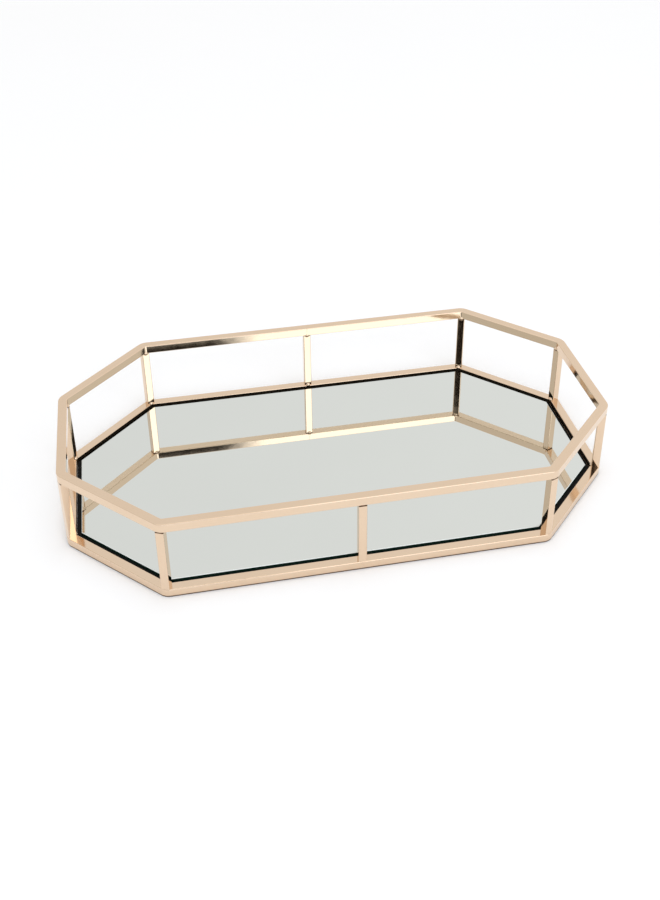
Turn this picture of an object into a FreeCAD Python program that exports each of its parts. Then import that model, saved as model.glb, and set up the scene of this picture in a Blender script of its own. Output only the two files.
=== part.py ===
import FreeCAD, Part
import math
import os
import Sketcher

# Dresser vanity tray: a stretched-octagon open gallery of plated square bar with a mirror deck.
#
# Frame of the model: millimetres, +Z up, +X along the tray's length, origin at the centre of the
# footprint on the surface that the tray stands on.  Two bent bar rails (bottom and top) are held
# apart by ten upright posts.  The mirror rests inside the bottom rail, on a board carried by welded
# tabs.

Vector = FreeCAD.Vector
Rotation = FreeCAD.Rotation

# ----------------------------------------------------------------------------------------------
# Driving dimensions, in millimetres
# ----------------------------------------------------------------------------------------------
SIZES = [
    ("length", 360.0, "overall length along X, outside the rails"),
    ("width", 200.0, "overall width along Y, outside the rails"),
    ("height", 57.0, "overall height, underside of bottom rail to top of top rail"),
    ("corner_cut", 58.5, "leg of each 45 degree corner, outside the rails"),
    ("rail_width", 6.0, "rail bar, seen from above"),
    ("rail_height", 6.0, "rail bar, seen from the side"),
    ("rail_edge", 0.5, "rounding along the rail bar's four long edges"),
    ("bend_radius", 2.5, "inside radius of each bend in a rail"),
    ("seam_gap", 0.6, "gap between a rail's two ends, filled by the seam weld"),
    ("seam_proud", 0.15, "height of the seam weld above the rail's inner face"),
    ("post_side", 5.3, "side of the square post bar"),
    ("post_edge", 0.5, "rounding along a post's four upright edges"),
    ("post_end_break", 0.4, "bevel round a post's top end"),
    ("post_setback", 0.3, "post face back from the rail's outer face, at the corners"),
    ("bead_reach", 2.4, "half width of a weld bead, along the rail"),
    ("bead_proud", 1.4, "how far a weld bead stands off the post"),
    ("bead_rise", 2.3, "half height of a weld bead"),
    ("bead_corner", 1.0, "cut across the corners of a weld bead"),
    ("tab_lift", 0.9, "underside of a support tab above the underside of the rail"),
    ("tab_thick", 0.8, "support tab, sheet thickness"),
    ("tab_reach", 14.0, "support tab, from the rail's inner face to its tip"),
    ("tab_wide", 12.0, "support tab, width"),
    ("tab_corner", 3.0, "rounding of a support tab's two free corners"),
    ("board_thick", 1.0, "backing board thickness"),
    ("board_gap", 0.5, "backing board's edge to the rail's inner face"),
    ("tape_thick", 0.3, "adhesive tape thickness"),
    ("tape_wide", 15.0, "adhesive tape width"),
    ("tape_margin", 8.0, "tape's edge in from the edge of the glass"),
    ("tape_end_space", 6.0, "tape's end back from the corner of the glass"),
    ("glass_thick", 2.5, "mirror glass thickness"),
    ("glass_gap", 3.5, "edge of the glass to the rail's inner face"),
    ("glass_arris", 0.4, "ground bevel round the top edge of the glass"),
]

CORNER_TURN = 45.0
HALF_TURN = CORNER_TURN / 2

doc = FreeCAD.newDocument("vanity_tray")
sheet = doc.addObject("Spreadsheet::Sheet", "sizes")
for row, (alias, value, note) in enumerate(SIZES, start=1):
    sheet.set("A%d" % row, alias)
    sheet.set("B%d" % row, str(value))
    sheet.set("C%d" % row, note)
    sheet.setAlias("B%d" % row, alias)
doc.recompute()


def cell(alias):
    """The sheet's value, for geometry that code has to work out."""
    return float(sheet.get(alias))


SUB_PARTS = []


# ----------------------------------------------------------------------------------------------
# Expressions that several pieces share
# ----------------------------------------------------------------------------------------------
HALF_LENGTH = "sizes.length / 2"
HALF_WIDTH = "sizes.width / 2"
TOP_RAIL_UNDERSIDE = "sizes.height - sizes.rail_height"
BOARD_UNDERSIDE = "sizes.tab_lift + sizes.tab_thick"
TAPE_UNDERSIDE = BOARD_UNDERSIDE + " + sizes.board_thick"
GLASS_UNDERSIDE = TAPE_UNDERSIDE + " + sizes.tape_thick"
RAIL_INSET = "sizes.rail_width"
GLASS_INSET = "sizes.rail_width + sizes.glass_gap"
BOARD_INSET = "sizes.rail_width + sizes.board_gap"


def octagon_corner(inset):
    """Expressions for the two corner points of one quarter of the octagon, set in by a distance."""
    side = "(%s) - (%s)"
    slide = " - (%s) * tan(%g)" % (inset, HALF_TURN)
    long_end = (HALF_LENGTH + " - sizes.corner_cut" + slide, side % (HALF_WIDTH, inset))
    short_end = (side % (HALF_LENGTH, inset), HALF_WIDTH + " - sizes.corner_cut" + slide)
    return long_end, short_end


# ----------------------------------------------------------------------------------------------
# Sketch and body helpers
# ----------------------------------------------------------------------------------------------
def new_body(label):
    body = doc.addObject("PartDesign::Body", label)
    body.Label = label
    SUB_PARTS.append(body)
    return body


def origin_plane(body, role):
    return [f for f in body.Origin.OriginFeatures if f.Role == role][0]


def new_sketch(body, name):
    sketch = body.newObject("Sketcher::SketchObject", name)
    sketch.AttachmentSupport = [(origin_plane(body, "XY_Plane"), "")]
    sketch.MapMode = "FlatFace"
    return sketch


def bind(item, prop, expression):
    item.setExpression(prop, expression)


def add_polygon(sketch, tag, corners):
    """A closed outline.  Each corner is (rough point, X expression, Y expression)."""
    count = len(corners)
    points = [Vector(*corner[0]) for corner in corners]
    first = sketch.GeometryCount
    for i in range(count):
        sketch.addGeometry(Part.LineSegment(points[i], points[(i + 1) % count]), False)
    for i in range(count):
        sketch.addConstraint(Sketcher.Constraint("Coincident", first + i, 2, first + (i + 1) % count, 1))
    for i, (_, x_expression, y_expression) in enumerate(corners):
        for kind, axis, value, expression in (
            ("DistanceX", "x", points[i].x, x_expression),
            ("DistanceY", "y", points[i].y, y_expression),
        ):
            index = sketch.addConstraint(Sketcher.Constraint(kind, -1, 1, first + i, 1, value))
            name = "%s_%s%d" % (tag, axis, i)
            sketch.renameConstraint(index, name)
            bind(sketch, "Constraints." + name, expression)


def add_octagon(sketch, tag, inset, inset_value):
    """The tray's octagon, anticlockwise, set in from the outside of the rails by a distance."""
    (long_x, long_y), (short_x, short_y) = octagon_corner(inset)
    slide = inset_value * math.tan(math.radians(HALF_TURN))
    rough_long = (cell("length") / 2 - cell("corner_cut") - slide, cell("width") / 2 - inset_value)
    rough_short = (cell("length") / 2 - inset_value, cell("width") / 2 - cell("corner_cut") - slide)
    long_end = (rough_long, long_x, long_y)
    short_end = (rough_short, short_x, short_y)
    order = [(1, -1, short_end), (1, 1, short_end), (1, 1, long_end), (-1, 1, long_end),
             (-1, 1, short_end), (-1, -1, short_end), (-1, -1, long_end), (1, -1, long_end)]
    corners = []
    for sign_x, sign_y, (rough, x_expression, y_expression) in order:
        corners.append(((sign_x * rough[0], sign_y * rough[1], 0),
                        "%d * (%s)" % (sign_x, x_expression),
                        "%d * (%s)" % (sign_y, y_expression)))
    add_polygon(sketch, tag, corners)


def add_rectangle(sketch, tag, low_x, high_x, low_y, high_y, rough):
    """An upright rectangle between four expressions; rough holds their values."""
    x0, x1, y0, y1 = rough
    add_polygon(sketch, tag, [((x0, y0, 0), low_x, low_y), ((x1, y0, 0), high_x, low_y),
                              ((x1, y1, 0), high_x, high_y), ((x0, y1, 0), low_x, high_y)])


def pad(body, sketch, name, length):
    feature = body.newObject("PartDesign::Pad", name)
    feature.Profile = sketch
    bind(feature, "Length", length)
    sketch.Visibility = False
    doc.recompute()
    return feature


def edges_where(feature, test):
    """Names of the feature's edges that pass a test on the edge."""
    return ["Edge%d" % (i + 1) for i, edge in enumerate(feature.Shape.Edges) if test(edge)]


def round_edges(body, base, name, radius, test):
    feature = body.newObject("PartDesign::Fillet", name)
    feature.Base = (base, edges_where(base, test))
    bind(feature, "Radius", radius)
    doc.recompute()
    return feature


def bevel_edges(body, base, name, size, test):
    feature = body.newObject("PartDesign::Chamfer", name)
    feature.Base = (base, edges_where(base, test))
    bind(feature, "Size", size)
    doc.recompute()
    return feature


def is_upright(edge):
    box = edge.BoundBox
    return box.ZLength > 1e-3 and box.XLength < 1e-3 and box.YLength < 1e-3


def is_level_at(z):
    return lambda edge: edge.BoundBox.ZLength < 1e-4 and abs(edge.BoundBox.ZMin - z) < 1e-4


# ----------------------------------------------------------------------------------------------
# Rails: one bar each, bent eight times, its ends meeting at the middle of the back
# ----------------------------------------------------------------------------------------------
def make_rail(label, underside):
    body = new_body(label)
    outline = new_sketch(body, label + "_outline")
    add_octagon(outline, "outer", "0", 0.0)
    add_octagon(outline, "inner", RAIL_INSET, cell("rail_width"))
    bar = pad(body, outline, label + "_bar", "sizes.rail_height")

    half_length, half_width = cell("length") / 2, cell("width") / 2

    def is_outer_bend(edge):
        box = edge.BoundBox
        on_side = abs(abs(box.XMin) - half_length) < 1e-3 or abs(abs(box.YMin) - half_width) < 1e-3
        return is_upright(edge) and on_side

    def is_inner_bend(edge):
        return is_upright(edge) and not is_outer_bend(edge)

    def is_long_edge(edge):
        return is_level_at(0.0)(edge) or is_level_at(cell("rail_height"))(edge)

    inner_bends = round_edges(body, bar, label + "_inner_bends", "sizes.bend_radius", is_inner_bend)
    outer_bends = round_edges(body, inner_bends, label + "_outer_bends",
                              "sizes.bend_radius + sizes.rail_width", is_outer_bend)
    rounded = round_edges(body, outer_bends, label + "_long_edges", "sizes.rail_edge", is_long_edge)

    slot = new_sketch(body, label + "_seam_slot")
    half_gap = cell("seam_gap") / 2
    add_rectangle(slot, "slot", "-sizes.seam_gap / 2", "sizes.seam_gap / 2",
                  HALF_WIDTH + " - 2 * sizes.rail_width", HALF_WIDTH + " + sizes.rail_width",
                  (-half_gap, half_gap, half_width - 2 * cell("rail_width"),
                   half_width + cell("rail_width")))
    seam = body.newObject("PartDesign::Pocket", label + "_seam")
    seam.Profile = slot
    seam.Type = "ThroughAll"
    seam.Reversed = True
    slot.Visibility = False
    doc.recompute()
    assert seam.Shape.Volume < rounded.Shape.Volume - 1.0, "the seam slot has to cut the rail"
    bind(body, ".Placement.Base.z", underside)
    return body


def make_seam_weld(label, underside):
    """The weld that joins a rail's two ends, a hair proud of the inner face."""
    body = new_body(label)
    outline = new_sketch(body, label + "_outline")
    half_gap, half_width = cell("seam_gap") / 2, cell("width") / 2
    add_rectangle(outline, "weld", "-sizes.seam_gap / 2", "sizes.seam_gap / 2",
                  HALF_WIDTH + " - sizes.rail_width - sizes.seam_proud", HALF_WIDTH,
                  (-half_gap, half_gap, half_width - cell("rail_width") - cell("seam_proud"),
                   half_width))
    block = pad(body, outline, label + "_block", "sizes.rail_height")

    def runs_across(edge):
        return edge.BoundBox.XLength > cell("seam_gap") - 1e-3

    round_edges(body, block, label + "_rounding", "sizes.rail_edge", runs_across)
    bind(body, ".Placement.Base.z", underside)
    return body


# ----------------------------------------------------------------------------------------------
# Posts: square bar between the rails, one on each bend and one in the middle of each long side
# ----------------------------------------------------------------------------------------------
# The middle of a bend's outer face lies inside the sharp corner of the octagon by this share of
# the bend's outer radius.
BEND_CUT = 1 / math.cos(math.radians(HALF_TURN)) - 1
OUTER_BEND_RADIUS = "(sizes.bend_radius + sizes.rail_width)"
CORNER_POST_INSET = OUTER_BEND_RADIUS + " * %.9f + sizes.post_setback + sizes.post_side / 2" % BEND_CUT

# name: (sign of X, sign of Y, corner at the end of a long or a short side)
CORNER_POSTS = [
    ("post_front_left", -1, -1, "long"),
    ("post_front_right", 1, -1, "long"),
    ("post_right_front", 1, -1, "short"),
    ("post_right_back", 1, 1, "short"),
    ("post_back_right", 1, 1, "long"),
    ("post_back_left", -1, 1, "long"),
    ("post_left_back", -1, 1, "short"),
    ("post_left_front", -1, -1, "short"),
]
MIDDLE_POSTS = [("post_front_middle", -1), ("post_back_middle", 1)]


def outward_angle(sign_x, sign_y, end):
    """Direction from the bend's inside to its outside, in degrees from +X."""
    quarter = 90 - HALF_TURN if end == "long" else HALF_TURN
    return math.degrees(math.atan2(sign_y * math.sin(math.radians(quarter)),
                                   sign_x * math.cos(math.radians(quarter))))


def make_post(label, x_expression, y_expression, turn):
    body = new_body(label)
    outline = new_sketch(body, label + "_outline")
    half = cell("post_side") / 2
    add_rectangle(outline, "post", "-sizes.post_side / 2", "sizes.post_side / 2",
                  "-sizes.post_side / 2", "sizes.post_side / 2", (-half, half, -half, half))
    bar = pad(body, outline, label + "_bar", "sizes.height - 2 * sizes.rail_height")
    rounded = round_edges(body, bar, label + "_edges", "sizes.post_edge", is_upright)
    top = cell("height") - 2 * cell("rail_height")
    bevel_edges(body, rounded, label + "_top_end", "sizes.post_end_break", is_level_at(top))
    body.Placement = FreeCAD.Placement(Vector(), Rotation(Vector(0, 0, 1), turn))
    bind(body, ".Placement.Base.x", x_expression)
    bind(body, ".Placement.Base.y", y_expression)
    bind(body, ".Placement.Base.z", "sizes.rail_height")
    return body


def make_corner_post(label, sign_x, sign_y, end):
    """Square to the bend, with its outer face a hair behind the rail's."""
    long_end, short_end = octagon_corner("0")
    x_corner, y_corner = long_end if end == "long" else short_end
    turn = outward_angle(sign_x, sign_y, end)
    x_expression = "%d * (%s) - (%s) * cos(%g)" % (sign_x, x_corner, CORNER_POST_INSET, turn)
    y_expression = "%d * (%s) - (%s) * sin(%g)" % (sign_y, y_corner, CORNER_POST_INSET, turn)
    return make_post(label, x_expression, y_expression, turn)


def make_middle_post(label, sign_y):
    """Flush with the rail's outer face."""
    y_expression = "%d * (%s - sizes.post_side / 2)" % (sign_y, HALF_WIDTH)
    return make_post(label, "0", y_expression, 90.0 * sign_y)


# ----------------------------------------------------------------------------------------------
# Weld beads: one on the inner face of each post, at each rail
# ----------------------------------------------------------------------------------------------
CROWN_SHARE = 0.5


def bead_outline(x, share):
    """A rectangle with its corners cut, across the bead's own X; share scales it."""
    wide = share * cell("bead_reach")
    high = share * cell("bead_rise")
    corner = share * cell("bead_corner")
    quarter = [(wide, high - corner), (wide - corner, high)]
    half = quarter + [(-y, z) for y, z in reversed(quarter)]
    points = [Vector(x, y, z) for y, z in half + [(-y, -z) for y, z in half]]
    return Part.makePolygon(points + points[:1])


def make_bead(post, rail_pieces, joint_height):
    """A blob on the post's inner face that tapers to its crown, cut back to what it joins.

    It starts at the post's own centre, so that it fills the joint whichever of the post and the
    rail stands further in.
    """
    face_x = -cell("post_side") / 2
    bead = Part.makeLoft([bead_outline(0, 1.0), bead_outline(face_x, 1.0),
                          bead_outline(face_x - cell("bead_proud"), CROWN_SHARE)], True, True)
    at_joint = Vector(post.Placement.Base.x, post.Placement.Base.y, joint_height)
    bead.Placement = FreeCAD.Placement(at_joint, post.Placement.Rotation)
    heart = bead.Placement.multVec(Vector(face_x - cell("bead_proud") / 2, 0, 0))
    for neighbour in rail_pieces + [post]:
        bead = bead.cut(neighbour.Shape)
    return [solid for solid in bead.Solids if solid.isInside(heart, 1e-3, True)][0]


def make_beads(label, rail_pieces, joint_height):
    feature = doc.addObject("Part::Feature", label)
    feature.Label = label
    feature.Shape = Part.makeCompound([make_bead(post, rail_pieces, joint_height) for post in posts])
    feature.Placement = FreeCAD.Placement()
    SUB_PARTS.append(feature)
    return feature


# ----------------------------------------------------------------------------------------------
# Deck: tabs welded inside the bottom rail, backing board, tape and mirror glass
# ----------------------------------------------------------------------------------------------
def make_tab(label, x_expression, y_expression, turn):
    """Its own X runs inwards from the rail's inner face."""
    body = new_body(label)
    outline = new_sketch(body, label + "_outline")
    reach, half = cell("tab_reach"), cell("tab_wide") / 2
    add_rectangle(outline, "tab", "0", "sizes.tab_reach", "-sizes.tab_wide / 2",
                  "sizes.tab_wide / 2", (0, reach, -half, half))
    plate = pad(body, outline, label + "_plate", "sizes.tab_thick")

    def is_at_tip(edge):
        return is_upright(edge) and abs(edge.BoundBox.XMin - reach) < 1e-3

    round_edges(body, plate, label + "_corners", "sizes.tab_corner", is_at_tip)
    body.Placement = FreeCAD.Placement(Vector(), Rotation(Vector(0, 0, 1), turn))
    bind(body, ".Placement.Base.x", x_expression)
    bind(body, ".Placement.Base.y", y_expression)
    bind(body, ".Placement.Base.z", "sizes.tab_lift")
    return body


def make_tabs():
    """Two on each long side, half way from the middle post to the corner, and one on each diagonal."""
    inner_side = HALF_WIDTH + " - sizes.rail_width"
    quarter_way = "(%s - sizes.corner_cut) / 2" % HALF_LENGTH
    mid_cut_x = "(%s - sizes.corner_cut / 2)" % HALF_LENGTH
    mid_cut_y = "(%s - sizes.corner_cut / 2)" % HALF_WIDTH
    step_in = "sizes.rail_width * %.9f" % math.cos(math.radians(CORNER_TURN))
    for side, sign_y in (("front", -1), ("back", 1)):
        for end, sign_x in (("left", -1), ("right", 1)):
            make_tab("tab_%s_%s" % (side, end), "%d * %s" % (sign_x, quarter_way),
                     "%d * (%s)" % (sign_y, inner_side), -90.0 * sign_y)
            inward = math.degrees(math.atan2(-sign_y, -sign_x))
            make_tab("tab_corner_%s_%s" % (side, end),
                     "%d * (%s - %s)" % (sign_x, mid_cut_x, step_in),
                     "%d * (%s - %s)" % (sign_y, mid_cut_y, step_in), inward)


def make_backing_board():
    body = new_body("backing_board")
    outline = new_sketch(body, "backing_board_outline")
    add_octagon(outline, "board", BOARD_INSET, cell("rail_width") + cell("board_gap"))
    pad(body, outline, "backing_board_sheet", "sizes.board_thick")
    bind(body, ".Placement.Base.z", BOARD_UNDERSIDE)
    return body


def make_tape(label, x_expression, y_expression, turn, length, rough_length):
    """A strip of adhesive tape centred on its own origin, along its own X."""
    body = new_body(label)
    outline = new_sketch(body, label + "_outline")
    half_long, half_wide = rough_length / 2, cell("tape_wide") / 2
    add_rectangle(outline, "tape", "-(%s) / 2" % length, "(%s) / 2" % length,
                  "-sizes.tape_wide / 2", "sizes.tape_wide / 2",
                  (-half_long, half_long, -half_wide, half_wide))
    pad(body, outline, label + "_strip", "sizes.tape_thick")
    body.Placement = FreeCAD.Placement(Vector(), Rotation(Vector(0, 0, 1), turn))
    bind(body, ".Placement.Base.x", x_expression)
    bind(body, ".Placement.Base.y", y_expression)
    bind(body, ".Placement.Base.z", TAPE_UNDERSIDE)
    return body


def make_tapes():
    in_from_side = "%s + sizes.tape_margin + sizes.tape_wide / 2" % GLASS_INSET
    shorten = " - 2 * (sizes.corner_cut + sizes.tape_end_space)"
    rough_shorten = 2 * (cell("corner_cut") + cell("tape_end_space"))
    long_run = ("sizes.length" + shorten, cell("length") - rough_shorten)
    short_run = ("sizes.width" + shorten, cell("width") - rough_shorten)
    for name, sign in (("front", -1), ("back", 1)):
        make_tape("tape_" + name, "0", "%d * (%s - (%s))" % (sign, HALF_WIDTH, in_from_side), 0.0,
                  *long_run)
    for name, sign in (("left", -1), ("right", 1)):
        make_tape("tape_" + name, "%d * (%s - (%s))" % (sign, HALF_LENGTH, in_from_side), "0", 90.0,
                  *short_run)


def make_mirror_glass():
    body = new_body("mirror_glass")
    outline = new_sketch(body, "mirror_glass_outline")
    add_octagon(outline, "glass", GLASS_INSET, cell("rail_width") + cell("glass_gap"))
    plate = pad(body, outline, "mirror_glass_plate", "sizes.glass_thick")
    bevel_edges(body, plate, "mirror_glass_arris", "sizes.glass_arris",
                is_level_at(cell("glass_thick")))
    bind(body, ".Placement.Base.z", GLASS_UNDERSIDE)
    return body


# ----------------------------------------------------------------------------------------------
# Build
# ----------------------------------------------------------------------------------------------
bottom_pieces = [make_rail("bottom_rail", "0"), make_seam_weld("bottom_rail_seam_weld", "0")]
top_pieces = [make_rail("top_rail", TOP_RAIL_UNDERSIDE),
              make_seam_weld("top_rail_seam_weld", TOP_RAIL_UNDERSIDE)]

posts = [make_corner_post(*row) for row in CORNER_POSTS]
posts += [make_middle_post(*row) for row in MIDDLE_POSTS]

make_tabs()
make_backing_board()
make_tapes()
make_mirror_glass()
doc.recompute()

make_beads("bottom_weld_beads", bottom_pieces, cell("rail_height"))
make_beads("top_weld_beads", top_pieces, cell("height") - cell("rail_height"))
doc.recompute()

# ----------------------------------------------------------------------------------------------
# Check every object, then write one file for each sub-part
# ----------------------------------------------------------------------------------------------
for item in doc.Objects:
    if "Invalid" in item.State or "Error" in item.State:
        raise RuntimeError("%s is %s" % (item.Label, item.State))
for item in SUB_PARTS:
    if item.Shape.isNull() or not item.Shape.isValid():
        raise RuntimeError("%s has no valid shape" % item.Label)

os.makedirs("parts", exist_ok=True)
for item in SUB_PARTS:
    item.Shape.exportStep("parts/%s.step" % item.Label)
    print("%-24s %2d solid(s) %10.1f mm3" % (item.Label, len(item.Shape.Solids), item.Shape.Volume))
print("%d sub-parts" % len(SUB_PARTS))
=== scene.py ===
# %% [markdown]
# # A mirrored dresser tray
#
# The tray is a small gallery for perfume bottles.  Two bars of square plated steel are bent into long
# octagons, ten short posts hold them apart, and a mirror lies inside the lower one.  The lesson starts
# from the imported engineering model, which says where each part is.  Each visible part is then made
# again with softened edges, welds and polish, in the same place and at the same size.

# %% Load the frame
import bmesh
import bpy
import math
from mathutils import Matrix, Vector


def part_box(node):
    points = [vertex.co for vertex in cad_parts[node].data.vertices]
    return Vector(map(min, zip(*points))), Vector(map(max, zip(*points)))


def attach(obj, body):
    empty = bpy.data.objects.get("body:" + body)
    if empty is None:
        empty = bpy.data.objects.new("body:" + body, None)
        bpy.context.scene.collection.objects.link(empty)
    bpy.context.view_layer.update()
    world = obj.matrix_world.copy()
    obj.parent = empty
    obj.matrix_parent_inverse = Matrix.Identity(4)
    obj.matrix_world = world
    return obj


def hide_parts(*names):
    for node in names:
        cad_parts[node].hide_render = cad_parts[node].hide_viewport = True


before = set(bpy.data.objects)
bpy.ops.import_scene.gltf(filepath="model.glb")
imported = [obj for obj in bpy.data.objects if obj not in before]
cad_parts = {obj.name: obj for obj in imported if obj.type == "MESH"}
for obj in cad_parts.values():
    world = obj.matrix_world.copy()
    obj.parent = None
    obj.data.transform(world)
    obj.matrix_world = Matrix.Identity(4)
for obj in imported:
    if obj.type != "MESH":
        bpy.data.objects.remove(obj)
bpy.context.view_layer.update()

MM = 0.001

# %% [markdown]
# ## The sizes that everything hangs on
#
# Nothing is typed in that the frame already knows.  The lower rail's box gives the outside of the
# octagon, a tab's box gives the rail's inner face, and a corner post gives the length of the slanted
# sides, because it stands on the line that halves the corner.

# %% Read the driving sizes from the frame
CORNER_TURN = math.radians(45)
HALF_TURN = CORNER_TURN / 2


def middle_of(node):
    low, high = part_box(node)
    return (low + high) / 2


def size_of(node):
    low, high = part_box(node)
    return high - low


HALF_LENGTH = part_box("bottom_rail")[1].x
HALF_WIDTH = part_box("bottom_rail")[1].y
RAIL_HEIGHT = size_of("bottom_rail").z
RAIL_WIDTH = HALF_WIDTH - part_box("tab_back_left")[1].y
POST_SIDE = size_of("post_front_middle").x
TOP_RAIL_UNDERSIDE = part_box("top_rail")[0].z

corner_post = middle_of("post_back_right")
CORNER_X = corner_post.x + (HALF_WIDTH - corner_post.y) * math.tan(HALF_TURN)
CORNER_CUT = HALF_LENGTH - CORNER_X
CORNER_Y = HALF_WIDTH - CORNER_CUT
print("rail %.1f x %.1f mm, corner cut %.1f mm" % (RAIL_WIDTH / MM, RAIL_HEIGHT / MM, CORNER_CUT / MM))

# %% [markdown]
# ## A few hand movements
#
# Modelling by operators is like working by hand: take one object, clear the selection, pick faces or
# edges, act on them, and let go.  These helpers are those movements.  Every pick starts from nothing,
# because an operator acts on all that is selected.

# %% Helpers for taking, picking and finishing
def take(piece):
    """Makes one object the selected and active one."""
    if bpy.context.mode != "OBJECT":
        bpy.ops.object.mode_set(mode="OBJECT")
    bpy.ops.object.select_all(action="DESELECT")
    piece.select_set(True)
    bpy.context.view_layer.objects.active = piece
    return piece


def start_editing(piece):
    take(piece)
    bpy.ops.object.mode_set(mode="EDIT")
    bpy.ops.mesh.select_all(action="DESELECT")


def pick(kind, test):
    """Selects the vertices, edges or faces of the edited mesh that pass a test, and nothing else."""
    bpy.ops.mesh.select_mode(type=kind)
    bpy.ops.mesh.select_all(action="DESELECT")
    shape = bmesh.from_edit_mesh(bpy.context.edit_object.data)
    found = {"VERT": shape.verts, "EDGE": shape.edges, "FACE": shape.faces}[kind]
    chosen = [item for item in found if test(item)]
    for item in chosen:
        item.select_set(True)
    shape.select_flush_mode()
    bmesh.update_edit_mesh(bpy.context.edit_object.data)
    return len(chosen)


def settle(piece):
    """Puts the object's place, turn and scale into its mesh."""
    take(piece)
    bpy.ops.object.transform_apply(location=True, rotation=True, scale=True)
    return piece


def name_piece(name):
    piece = bpy.context.active_object
    piece.name = name
    piece.data.name = name
    return piece


def add_block(name, low, high):
    """A cube primitive stretched between two corners."""
    bpy.ops.mesh.primitive_cube_add(size=1, location=(low + high) / 2)
    piece = name_piece(name)
    piece.scale = high - low
    return settle(piece)


MERGE = 0.001 * MM


def finish_edges(piece, smooth_angle=40):
    """Faces outwards, smooth shading over the roundings, and flat faces kept flat."""
    start_editing(piece)
    bpy.ops.mesh.select_all(action="SELECT")
    bpy.ops.mesh.remove_doubles(threshold=MERGE)
    bpy.ops.mesh.normals_make_consistent(inside=False)
    take(piece)
    bpy.ops.object.shade_smooth_by_angle(angle=math.radians(smooth_angle))
    flats = piece.modifiers.new("keep_flats_flat", "WEIGHTED_NORMAL")
    flats.keep_sharp = True
    bpy.ops.object.modifier_apply(modifier=flats.name)
    return piece


def copy_of(piece, name):
    """A copy with a mesh of its own."""
    take(piece)
    bpy.ops.object.duplicate(linked=False)
    return name_piece(name)


def report(piece):
    """Prints the piece's size and says if its surface is closed."""
    shape = bmesh.new()
    shape.from_mesh(piece.data)
    loose = [edge for edge in shape.edges if len(edge.link_faces) != 2]
    volume = shape.calc_volume(signed=True)
    shape.free()
    print("%-22s %6.1f x %6.1f x %5.1f mm, %5d faces, %d open edges, %.1f mm3"
          % (piece.name, *(v / MM for v in piece.dimensions), len(piece.data.polygons), len(loose),
             volume / MM ** 3))


def adopt(piece, slot, *nodes):
    """The piece belongs to the tray's one body and stands for its CAD nodes, which it hides."""
    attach(piece, "root")
    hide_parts(*nodes)
    return piece


# %% [markdown]
# ## Rails: one bar, bent eight times
#
# Each rail is a single bar of bright steel bent over a former at eight corners, so that its two ends
# meet in the middle of the back, where a thin weld closes the ring.  It could be an octagon outline
# with a section swept along it, but a sweep pinches or fattens the section at the corners.  Pushing
# the section straight with extrude and round with spin is what the bending bench does, and keeps the
# section true.

# %% Walk the section round the octagon
INNER_BEND = 2.5 * MM
OUTER_BEND = INNER_BEND + RAIL_WIDTH
LONG_EDGE = 0.5 * MM
EDGE_STEPS = 5
BEND_STEPS = 12
SEAM_HALF = size_of("bottom_rail_seam_weld").x / 2
NEAR = 0.01 * MM


def sharp_corners():
    """The octagon's corners in the order in which the bar passes them, clockwise from the back."""
    quarter = [(CORNER_X, HALF_WIDTH), (HALF_LENGTH, CORNER_Y)]
    right = quarter + [(x, -y) for x, y in reversed(quarter)]
    return [Vector((x, y, 0)) for x, y in right + [(-x, y) for x, y in reversed(right)]]


def add_section(name, underside):
    """The bar's cut end, with its four rounded corners, at the seam in the middle of the back."""
    bpy.ops.mesh.primitive_plane_add(size=1, rotation=(0, math.pi / 2, 0))
    section = name_piece(name)
    section.scale = (RAIL_HEIGHT, RAIL_WIDTH, 1)
    section.location = (SEAM_HALF, HALF_WIDTH - RAIL_WIDTH / 2, underside + RAIL_HEIGHT / 2)
    settle(section)
    start_editing(section)
    bpy.ops.mesh.select_all(action="SELECT")
    bpy.ops.mesh.bevel(offset=LONG_EDGE, segments=EDGE_STEPS, affect="VERTICES")
    return section


def bend_rail(name, underside):
    rail = add_section(name, underside)
    bpy.ops.mesh.select_mode(type="FACE")
    bpy.ops.mesh.select_all(action="SELECT")
    heading = Vector((1, 0, 0))
    at = Vector((SEAM_HALF, HALF_WIDTH, 0))
    tangent = OUTER_BEND * math.tan(HALF_TURN)
    clockwise = Matrix.Rotation(-CORNER_TURN, 3, "Z")
    for corner in sharp_corners():
        run = (corner - at).length - tangent
        bpy.ops.mesh.extrude_region_move(TRANSFORM_OT_translate={"value": heading * run})
        inward = Vector((heading.y, -heading.x, 0))
        centre = corner - heading * tangent + inward * OUTER_BEND
        bpy.ops.mesh.spin(steps=BEND_STEPS, angle=CORNER_TURN, center=centre, axis=(0, 0, 1))
        heading = clockwise @ heading
        at = corner + heading * tangent
    run = (Vector((-SEAM_HALF, HALF_WIDTH, 0)) - at).length
    bpy.ops.mesh.extrude_region_move(TRANSFORM_OT_translate={"value": heading * run})
    return finish_edges(rail)


bottom_rail = bend_rail("bottom_rail_bar", 0.0)
top_rail = bend_rail("top_rail_bar", TOP_RAIL_UNDERSIDE)
adopt(bottom_rail, "plated_bar", "bottom_rail")
adopt(top_rail, "plated_bar", "top_rail")
report(bottom_rail)
report(top_rail)

# %% [markdown]
# ## The seam welds
#
# Where the two ends of a bar meet, a weld fills the gap and is filed nearly flush.  A slice of just
# the same section would vanish, so the weld is a thin block left a hair proud on the inside, with the
# edges that run across the seam rounded like the bar's own.

# %% Fill the seams
def make_seam(name, node):
    low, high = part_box(node)
    seam = add_block(name, low, high)
    start_editing(seam)
    pick("EDGE", lambda edge: abs(edge.verts[0].co.x - edge.verts[1].co.x) > SEAM_HALF)
    bpy.ops.mesh.bevel(offset=LONG_EDGE, segments=EDGE_STEPS)
    return finish_edges(seam)


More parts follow.
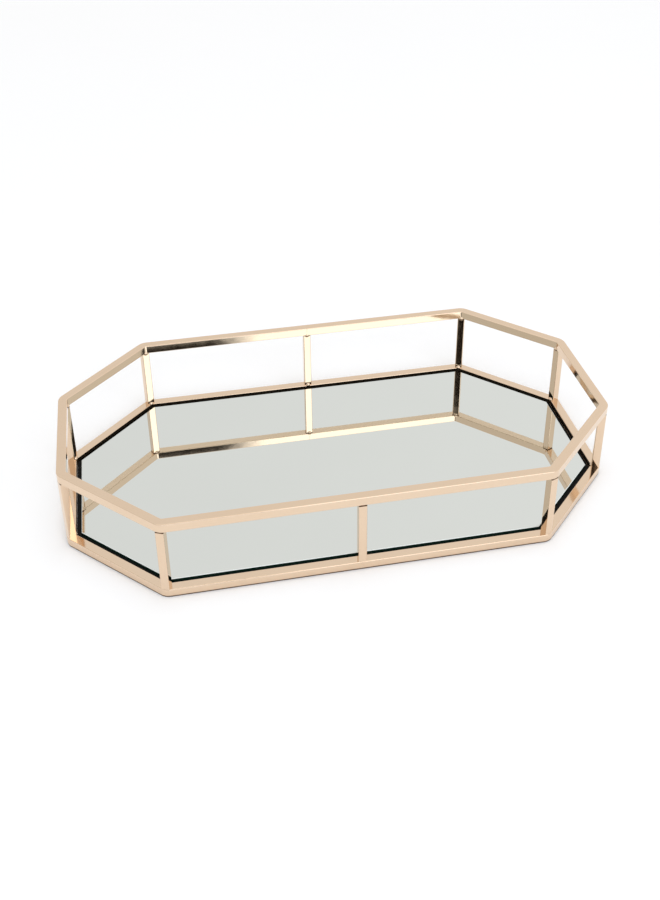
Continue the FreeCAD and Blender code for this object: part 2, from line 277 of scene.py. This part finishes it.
for level in ("bottom", "top"):
    seam = make_seam(level + "_seam", level + "_rail_seam_weld")
    adopt(seam, "plated_weld", level + "_rail_seam_weld")
    report(seam)

# %% [markdown]
# ## Ten posts
#
# The posts are short lengths of square bar.  Their long edges are drawn round by the mill, and the top
# end is chamfered so that the weld can bite, which leaves a fine groove under the top rail; the dark
# line there is painted shade in the bar's finish.  One post is made standing on the origin, then each
# copy is turned to face outwards and set on its place.

# %% Make one post, then stand ten of them up
POST_EDGE = 0.5 * MM
POST_CHAMFER = 0.4 * MM
POST_NODES = ["post_front_left", "post_front_right", "post_right_front", "post_right_back",
              "post_back_right", "post_back_left", "post_left_back", "post_left_front",
              "post_front_middle", "post_back_middle"]


def make_pattern_post():
    height = size_of("post_front_middle").z
    half = Vector((POST_SIDE / 2, POST_SIDE / 2, 0))
    post = add_block("pattern_post", -half, half + Vector((0, 0, height)))
    start_editing(post)
    pick("EDGE", lambda edge: abs(edge.verts[0].co.z - edge.verts[1].co.z) > height / 2)
    bpy.ops.mesh.bevel(offset=POST_EDGE, segments=EDGE_STEPS)
    pick("EDGE", lambda edge: min(vert.co.z for vert in edge.verts) > height - NEAR)
    bpy.ops.mesh.bevel(offset=POST_CHAMFER, segments=2)
    return finish_edges(post)


def outward_turn(place):
    """The angle, from +X, of the line that a post faces along: its corner's halving line."""
    if abs(place.x) < 1 * MM:
        return math.copysign(math.pi / 2, place.y)
    on_long_side = abs(place.y) > CORNER_Y + CORNER_CUT / 2
    turn = math.pi / 2 - HALF_TURN if on_long_side else HALF_TURN
    return math.atan2(math.copysign(math.sin(turn), place.y), math.copysign(math.cos(turn), place.x))


def stand(pattern, name, node):
    place = middle_of(node)
    piece = copy_of(pattern, name)
    piece.rotation_euler.z = outward_turn(place)
    piece.location = (place.x, place.y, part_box(node)[0].z)
    return settle(piece)


pattern_post = make_pattern_post()
posts = [stand(pattern_post, node + "_bar", node) for node in POST_NODES]
for post, node in zip(posts, POST_NODES):
    adopt(post, "plated_bar", node)
bpy.data.objects.remove(pattern_post)
report(posts[0])

# %% [markdown]
# ## Weld beads
#
# A small fillet of weld joins each post to each rail on the inner side, where it does not show from
# the front.  A bead is a flattened ball of metal that has run a little, so a ball primitive is pressed
# flat, and a cloud pattern pushes its surface in by up to two tenths of a millimetre.

# %% Twenty beads, in two groups
BEAD_REACH = 2.25 * MM
BEAD_PROUD = 1.3 * MM
BEAD_RISE = 2.15 * MM
BEAD_RUN = 0.2 * MM
LUMP_SIZE = 1.1 * MM


def make_bead(name, place, turn, joint_height, lump):
    bpy.ops.mesh.primitive_uv_sphere_add(segments=24, ring_count=14, radius=1)
    bead = name_piece(name)
    bead.scale = (2 * BEAD_PROUD, BEAD_REACH, BEAD_RISE)
    inward = Vector((-math.cos(turn), -math.sin(turn), 0))
    centre = place + inward * (POST_SIDE / 2 - BEAD_PROUD)
    bead.location = (centre.x, centre.y, joint_height)
    bead.rotation_euler.z = turn
    settle(bead)
    ripple = bead.modifiers.new("ripple", "DISPLACE")
    ripple.texture = lump
    ripple.texture_coords = "LOCAL"
    ripple.strength = BEAD_RUN
    ripple.mid_level = 0.9
    bpy.ops.object.modifier_apply(modifier=ripple.name)
    return bead


def make_bead_group(level, joint_height):
    lump = bpy.data.textures.new(level + "_lump", "CLOUDS")
    lump.noise_scale = LUMP_SIZE
    beads = []
    for node in POST_NODES:
        place = middle_of(node)
        beads.append(make_bead("bead", place, outward_turn(place), joint_height, lump))
    take(beads[0])
    for bead in beads:
        bead.select_set(True)
    bpy.ops.object.join()
    group = name_piece(level + "_beads")
    take(group)
    bpy.ops.object.shade_smooth()
    return group


for level, joint in (("bottom", RAIL_HEIGHT), ("top", TOP_RAIL_UNDERSIDE)):
    group = make_bead_group(level, joint)
    adopt(group, "plated_weld", level + "_weld_beads")
    report(group)

# %% [markdown]
# ## Deck: mirror, board, tapes and tabs
#
# The mirror is float glass cut to the octagon, with its top edge ground to a narrow arris so that it
# does not cut fingers.  Under it lies a black board that shows as a dark line all round, because the
# glass is cut a few millimetres small.  Both are the same outline at a different inset, so one helper
# cuts the outline and the rest is extrude and bevel.

# %% Cut an octagonal sheet
def cut_sheet(name, node):
    """An octagonal plate that fills a node's box, with its slanted sides parallel to the rails'."""
    low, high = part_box(node)
    inset = HALF_LENGTH - high.x
    cut = CORNER_CUT - inset * (2 - math.sqrt(2))
    bpy.ops.mesh.primitive_plane_add(size=1, location=(0, 0, low.z))
    sheet = name_piece(name)
    sheet.scale = (2 * high.x, 2 * high.y, 1)
    settle(sheet)
    start_editing(sheet)
    bpy.ops.mesh.select_all(action="SELECT")
    bpy.ops.mesh.bevel(offset=cut, segments=1, affect="VERTICES")
    bpy.ops.mesh.select_mode(type="FACE")
    bpy.ops.mesh.select_all(action="SELECT")
    bpy.ops.mesh.extrude_region_move(TRANSFORM_OT_translate={"value": (0, 0, high.z - low.z)})
    return sheet


def rim_edges(height):
    return lambda edge: all(abs(vert.co.z - height) < NEAR for vert in edge.verts)


# %% The mirror and its arris
ARRIS = 0.4 * MM
mirror = cut_sheet("mirror_plate", "mirror_glass")
pick("EDGE", rim_edges(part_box("mirror_glass")[1].z))
bpy.ops.mesh.bevel(offset=ARRIS, segments=1)
finish_edges(mirror, smooth_angle=20)
adopt(mirror, "mirror_glass", "mirror_glass")
report(mirror)

# %% The board
BOARD_EDGE = 0.15 * MM
board = cut_sheet("backing_sheet", "backing_board")
for height in (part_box("backing_board")[0].z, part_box("backing_board")[1].z):
    pick("EDGE", rim_edges(height))
    bpy.ops.mesh.bevel(offset=BOARD_EDGE, segments=2)
finish_edges(board, smooth_angle=50)
adopt(board, "black_board", "backing_board")
report(board)

# %% [markdown]
# ## Shader sums in plain arithmetic
#
# A finish is a sum of small effects: a tone, a haze, a waviness.  Written as nodes and links, that is
# hard to read, so one small class wraps a socket and lets Python's own signs add the Math nodes.

# %% A wrapper for sockets
class Flow:
    """One value, colour or vector on its way through a material's nodes."""

    def __init__(self, tree, socket=None):
        self.tree = tree
        self.socket = socket

    def node(self, kind, values=None, output=0, **settings):
        """Adds a node, sets it up, feeds its sockets and gives one of its outputs."""
        made = self.tree.nodes.new(kind)
        for name, value in settings.items():
            setattr(made, name, value)
        for key, value in (values or {}).items():
            if isinstance(value, Flow):
                self.tree.links.new(value.socket, made.inputs[key])
            else:
                made.inputs[key].default_value = value
        return Flow(self.tree, None if output is None else made.outputs[output])

    def sum(self, operation, *terms, clamp=False):
        return self.node("ShaderNodeMath", dict(enumerate(terms)), operation=operation, use_clamp=clamp)

    def __add__(self, other):
        return self.sum("ADD", self, other)

    def __mul__(self, other):
        return self.sum("MULTIPLY", self, other)

    __radd__ = __add__
    __rmul__ = __mul__

    def blend(self, first, second):
        """This value mixes two colours."""
        return self.node("ShaderNodeMix", {0: self, 6: first, 7: second}, output=2, data_type="RGBA")


def new_finish(name):
    """A material with one Principled shader; gives the material, its shader and a Flow to build with."""
    finish = bpy.data.materials.new(name)
    finish.use_nodes = True
    shader = finish.node_tree.nodes["Principled BSDF"]
    return finish, shader, Flow(finish.node_tree)


def feed(shader, **values):
    """Sets or links the shader's sockets; an underscore in a name stands for a space."""
    for name, value in values.items():
        socket = shader.inputs[name.replace("_", " ")]
        if isinstance(value, Flow):
            value.tree.links.new(value.socket, socket)
        else:
            socket.default_value = value


def noise(flow, scale, detail=2.0, roughness=0.5, stretch=None):
    """Cloudy noise fixed to the piece, from 0 to 1; scale is in waves a metre."""
    where = flow.node("ShaderNodeTexCoord", output="Object")
    if stretch:
        where = flow.node("ShaderNodeMapping", {"Vector": where, "Scale": stretch})
    return flow.node("ShaderNodeTexNoise", {"Vector": where, "Scale": scale, "Detail": detail,
                                            "Roughness": roughness}, output="Fac")


def bump(flow, height, distance):
    return flow.node("ShaderNodeBump", {"Height": height, "Distance": distance, "Strength": 1.0},
                     output="Normal")


def dress(*pieces, finishes):
    for piece in pieces:
        piece.data.materials.clear()
        for finish in finishes:
            piece.data.materials.append(finish)


# %% [markdown]
# ## Plated steel
#
# The bars are polished, then plated in a pale champagne gold.  The metal is a mirror with a colour, so
# the look is almost all reflection: the base colour tints it, a low roughness keeps it crisp, and a
# waviness of a few thousandths of a millimetre makes straight reflections wander as they do on bar
# that was bent and buffed by hand.  Two thin brown bands are painted shade in the base colour: along
# the foot of the tray they stand for the contact shadow and the dark reflection under the bottom rail,
# and where the posts meet the top rail they stand for the shade in that joint.

# %% Finishes of the metal parts
CHAMPAGNE = (0.81, 0.635, 0.475, 1)
CHAMPAGNE_WARM = (0.79, 0.60, 0.43, 1)
# The brown below is painted shade: the colour of two bands that stand for contact shadow and dark
# reflection at the foot, and shade under the top rail.
PAINTED_SHADE_BROWN = (0.09, 0.045, 0.022, 1)
FOOT_SHADE_BAND = 1.3 * MM
JOINT_SHADE_BAND = 0.9 * MM


def share_between(flow, value, from_value, to_value):
    """0 at one value and 1 at the other, with a soft start and end."""
    return flow.node("ShaderNodeMapRange", {"Value": value, "From Min": from_value, "From Max": to_value},
                     interpolation_type="SMOOTHSTEP")


# Mask of the painted shade: a band at the foot of the bars that fades out just above the table, and a
# band just under the top rail.
def painted_shade_share(flow):
    where = flow.node("ShaderNodeTexCoord", output="Object")
    height = flow.node("ShaderNodeSeparateXYZ", {"Vector": where}, output="Z")
    foot = share_between(flow, height, FOOT_SHADE_BAND, 0.6 * FOOT_SHADE_BAND)
    off_the_table = share_between(flow, height, 0.01 * FOOT_SHADE_BAND, 0.1 * FOOT_SHADE_BAND)
    joint = share_between(flow, height, TOP_RAIL_UNDERSIDE - JOINT_SHADE_BAND,
                          TOP_RAIL_UNDERSIDE - 0.6 * JOINT_SHADE_BAND)
    above = share_between(flow, height, TOP_RAIL_UNDERSIDE, TOP_RAIL_UNDERSIDE - 0.1 * JOINT_SHADE_BAND)
    return foot * off_the_table + joint * above


def plated_finish(name, haze, grit, wave, with_painted_shade=True):
    finish, shader, flow = new_finish(name)
    tone = noise(flow, 35, detail=3).blend(CHAMPAGNE, CHAMPAGNE_WARM)
    # The bars and welds get the painted shade bands; the tabs are left without them.
    if with_painted_shade:
        tone = painted_shade_share(flow).blend(tone, PAINTED_SHADE_BROWN)
    smudge = noise(flow, 260, detail=4, roughness=0.6)
    waviness = noise(flow, 90, detail=1) * wave + noise(flow, 2600, detail=2) * grit
    feed(shader, Base_Color=tone, Metallic=1.0, Roughness=smudge * haze + haze / 2,
         Normal=bump(flow, waviness, 1.0 * MM))
    return finish


plated_bar = plated_finish("plated_bar", haze=0.07, grit=0.002, wave=0.05)
plated_weld = plated_finish("plated_weld", haze=0.16, grit=0.03, wave=0.08)
plated_tab = plated_finish("plated_tab", haze=0.3, grit=0.02, wave=0.05, with_painted_shade=False)

dress(bottom_rail, top_rail, *posts, finishes=[plated_bar])
for level in ("bottom", "top"):
    dress(bpy.data.objects[level + "_seam"], bpy.data.objects[level + "_beads"],
          finishes=[plated_weld])
tabs = [node for name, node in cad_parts.items() if name.startswith("tab_")]
dress(*tabs, finishes=[plated_tab])

# %% [markdown]
# ## Mirror glass
#
# Seen from above, the plate is silver under clear glass.  The ground arris is frosted white, and the
# cut edge looks down the length of the glass, so it is a deep green, nearly black.  The underside is
# the grey paint that seals the silver.

# %% Finishes of the mirror
def silver_finish():
    finish, shader, flow = new_finish("mirror_silver")
    tint = noise(flow, 18, detail=2).blend((0.735, 0.755, 0.72, 1), (0.755, 0.775, 0.74, 1))
    wipe = noise(flow, 40, detail=5, roughness=0.65, stretch=(1.0, 3.0, 1.0))
    feed(shader, Base_Color=tint, Metallic=1.0, Roughness=wipe * 0.03 + 0.005)
    return finish


def ground_finish():
    finish, shader, flow = new_finish("ground_arris")
    frost = noise(flow, 4000, detail=3)
    tint = frost.blend((0.72, 0.78, 0.75, 1), (0.93, 0.95, 0.94, 1))
    feed(shader, Base_Color=tint, Roughness=frost * 0.3 + 0.35, Normal=bump(flow, frost, 0.05 * MM))
    return finish


def glass_edge_finish():
    finish, shader, flow = new_finish("glass_edge")
    depth = noise(flow, 900, detail=2)
    tint = depth.blend((0.004, 0.014, 0.010, 1), (0.010, 0.034, 0.024, 1))
    feed(shader, Base_Color=tint, Roughness=depth * 0.1 + 0.12, Specular_IOR_Level=0.08)
    return finish


def back_paint_finish():
    finish, shader, flow = new_finish("back_paint")
    speck = noise(flow, 700, detail=4)
    tint = speck.blend((0.16, 0.165, 0.17, 1), (0.22, 0.225, 0.23, 1))
    feed(shader, Base_Color=tint, Roughness=speck * 0.2 + 0.5)
    return finish


dress(mirror, finishes=[silver_finish(), ground_finish(), glass_edge_finish(), back_paint_finish()])
for face in mirror.data.polygons:
    if face.normal.z > 0.9:
        face.material_index = 0
    elif face.normal.z > 0.1:
        face.material_index = 1
    elif face.normal.z > -0.9:
        face.material_index = 2
    else:
        face.material_index = 3

# %% Finishes of the board and the tapes
def board_finish():
    finish, shader, flow = new_finish("black_board")
    fibre = noise(flow, 500, detail=5, roughness=0.7, stretch=(1.0, 4.0, 1.0))
    tint = fibre.blend((0.005, 0.006, 0.006, 1), (0.022, 0.022, 0.020, 1))
    feed(shader, Base_Color=tint, Roughness=fibre * 0.25 + 0.55, Specular_IOR_Level=0.06,
         Normal=bump(flow, fibre, 0.08 * MM))
    return finish


def tape_finish():
    finish, shader, flow = new_finish("adhesive_tape")
    weave = noise(flow, 1200, detail=3)
    tint = weave.blend((0.70, 0.69, 0.62, 1), (0.86, 0.85, 0.80, 1))
    feed(shader, Base_Color=tint, Roughness=weave * 0.2 + 0.45, Normal=bump(flow, weave, 0.03 * MM))
    return finish


dress(board, finishes=[board_finish()])
tapes = [node for name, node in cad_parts.items() if name.startswith("tape_")]
dress(*tapes, finishes=[tape_finish()])

# %% [markdown]
# ## Floor, light and camera
#
# Polished metal shows the room more than itself.  The room here is a white studio: a pale floor, even
# light from the ceiling, a large soft box behind the camera, and a pale grey dome that brightens to
# one side.  The one dark thing in it is a soft black patch that stands for the camera and its
# operator.  The inner faces of the back rail and of one back post mirror it, and turn black.

# %% The floor
FLOOR_SIZE = 6.0
FLOOR_GAP = 0.02 * MM


def make_floor():
    bpy.ops.mesh.primitive_plane_add(size=FLOOR_SIZE, location=(0, 0, -FLOOR_GAP))
    floor = name_piece("studio_floor")
    finish, shader, flow = new_finish("floor_paper")
    tint = noise(flow, 3, detail=2).blend((0.96, 0.96, 0.96, 1), (0.975, 0.975, 0.975, 1))
    feed(shader, Base_Color=tint, Roughness=0.9)
    dress(floor, finishes=[finish])
    return floor


make_floor()

# %% The soft box and the ceiling
def add_soft_box(name, place, aim, size, power, tint):
    bpy.ops.object.light_add(type="AREA", location=place)
    lamp = bpy.context.active_object
    lamp.name = name
    lamp.data.shape = "RECTANGLE"
    lamp.data.size, lamp.data.size_y = size
    lamp.data.energy = power
    lamp.data.color = tint
    lamp.rotation_euler = (Vector(aim) - Vector(place)).to_track_quat("-Z", "Y").to_euler()
    return lamp


add_soft_box("front_box", place=(0.5, -2.0, 1.3), aim=(0, 0, 0), size=(2.6, 1.4), power=18,
             tint=(0.80, 0.88, 1.0))


def add_ceiling_light(power, spread):
    """Even light from a wide patch of the ceiling; spread is its width in degrees."""
    bpy.ops.object.light_add(type="SUN", location=(0, 0, 2))
    lamp = bpy.context.active_object
    lamp.name = "ceiling_light"
    lamp.data.energy = power
    lamp.data.angle = math.radians(spread)
    return lamp


add_ceiling_light(power=0.25, spread=50)

# %% The pale dome, brighter towards the right
def hang_dome(left, right):
    world = bpy.data.worlds.new("studio_dome")
    bpy.context.scene.world = world
    world.use_nodes = True
    flow = Flow(world.node_tree)
    direction = flow.node("ShaderNodeTexCoord", output="Generated")
    across = flow.node("ShaderNodeSeparateXYZ", {"Vector": direction}, output="X")
    share = flow.sum("MULTIPLY_ADD", across, 0.9, 0.4, clamp=True)
    tone = share.blend((left, left, left, 1), (right, right, right, 1))
    background = world.node_tree.nodes["Background"]
    world.node_tree.links.new(tone.socket, background.inputs["Color"])


hang_dome(left=0.84, right=0.96)
bpy.context.scene.view_settings.view_transform = "Standard"

# %% The operator's dark patch, seen only in reflections
PATCH_EDGE = 0.5
FULL_BLACK_ACROSS = 0.30
FULL_BLACK_UP = 0.26


def add_dark_patch(place, size):
    """Upright, facing the tray, black in the middle and clear towards its sides."""
    bpy.ops.mesh.primitive_plane_add(size=1, location=place)
    patch = name_piece("dark_patch")
    patch.scale = (*size, 1)
    patch.rotation_euler.x = math.radians(90)
    finish = bpy.data.materials.new("dark_patch")
    finish.use_nodes = True
    finish.node_tree.nodes.clear()
    flow = Flow(finish.node_tree)
    where = flow.node("ShaderNodeTexCoord", output="Object")
    cover = 1.0
    for axis, full in (("X", FULL_BLACK_ACROSS), ("Y", FULL_BLACK_UP)):
        along = flow.node("ShaderNodeSeparateXYZ", {"Vector": where}, output=axis)
        from_middle = flow.sum("ABSOLUTE", along)
        cover = share_between(flow, from_middle, PATCH_EDGE, full) * cover
    clear = flow.node("ShaderNodeBsdfTransparent")
    black = flow.node("ShaderNodeEmission", {"Color": (0.012, 0.008, 0.005, 1)})
    mixed = flow.node("ShaderNodeMixShader", {0: cover, 1: clear, 2: black})
    flow.node("ShaderNodeOutputMaterial", {"Surface": mixed}, output=None)
    patch.data.materials.append(finish)
    patch.visible_camera = False
    patch.visible_diffuse = False
    patch.visible_shadow = False
    return patch


add_dark_patch(place=(-0.15, -0.68, 0.555), size=(0.42, 0.40))

# %% The camera
def add_camera():
    bpy.ops.object.camera_add(location=(-0.1116, -0.5960, 0.4914))
    camera = bpy.context.active_object
    camera.rotation_euler = [math.radians(angle) for angle in (59.609, 0.568, -10.939)]
    camera.data.lens = 44.36
    camera.data.shift_y = -0.1667
    bpy.context.scene.camera = camera
    return camera


add_camera()
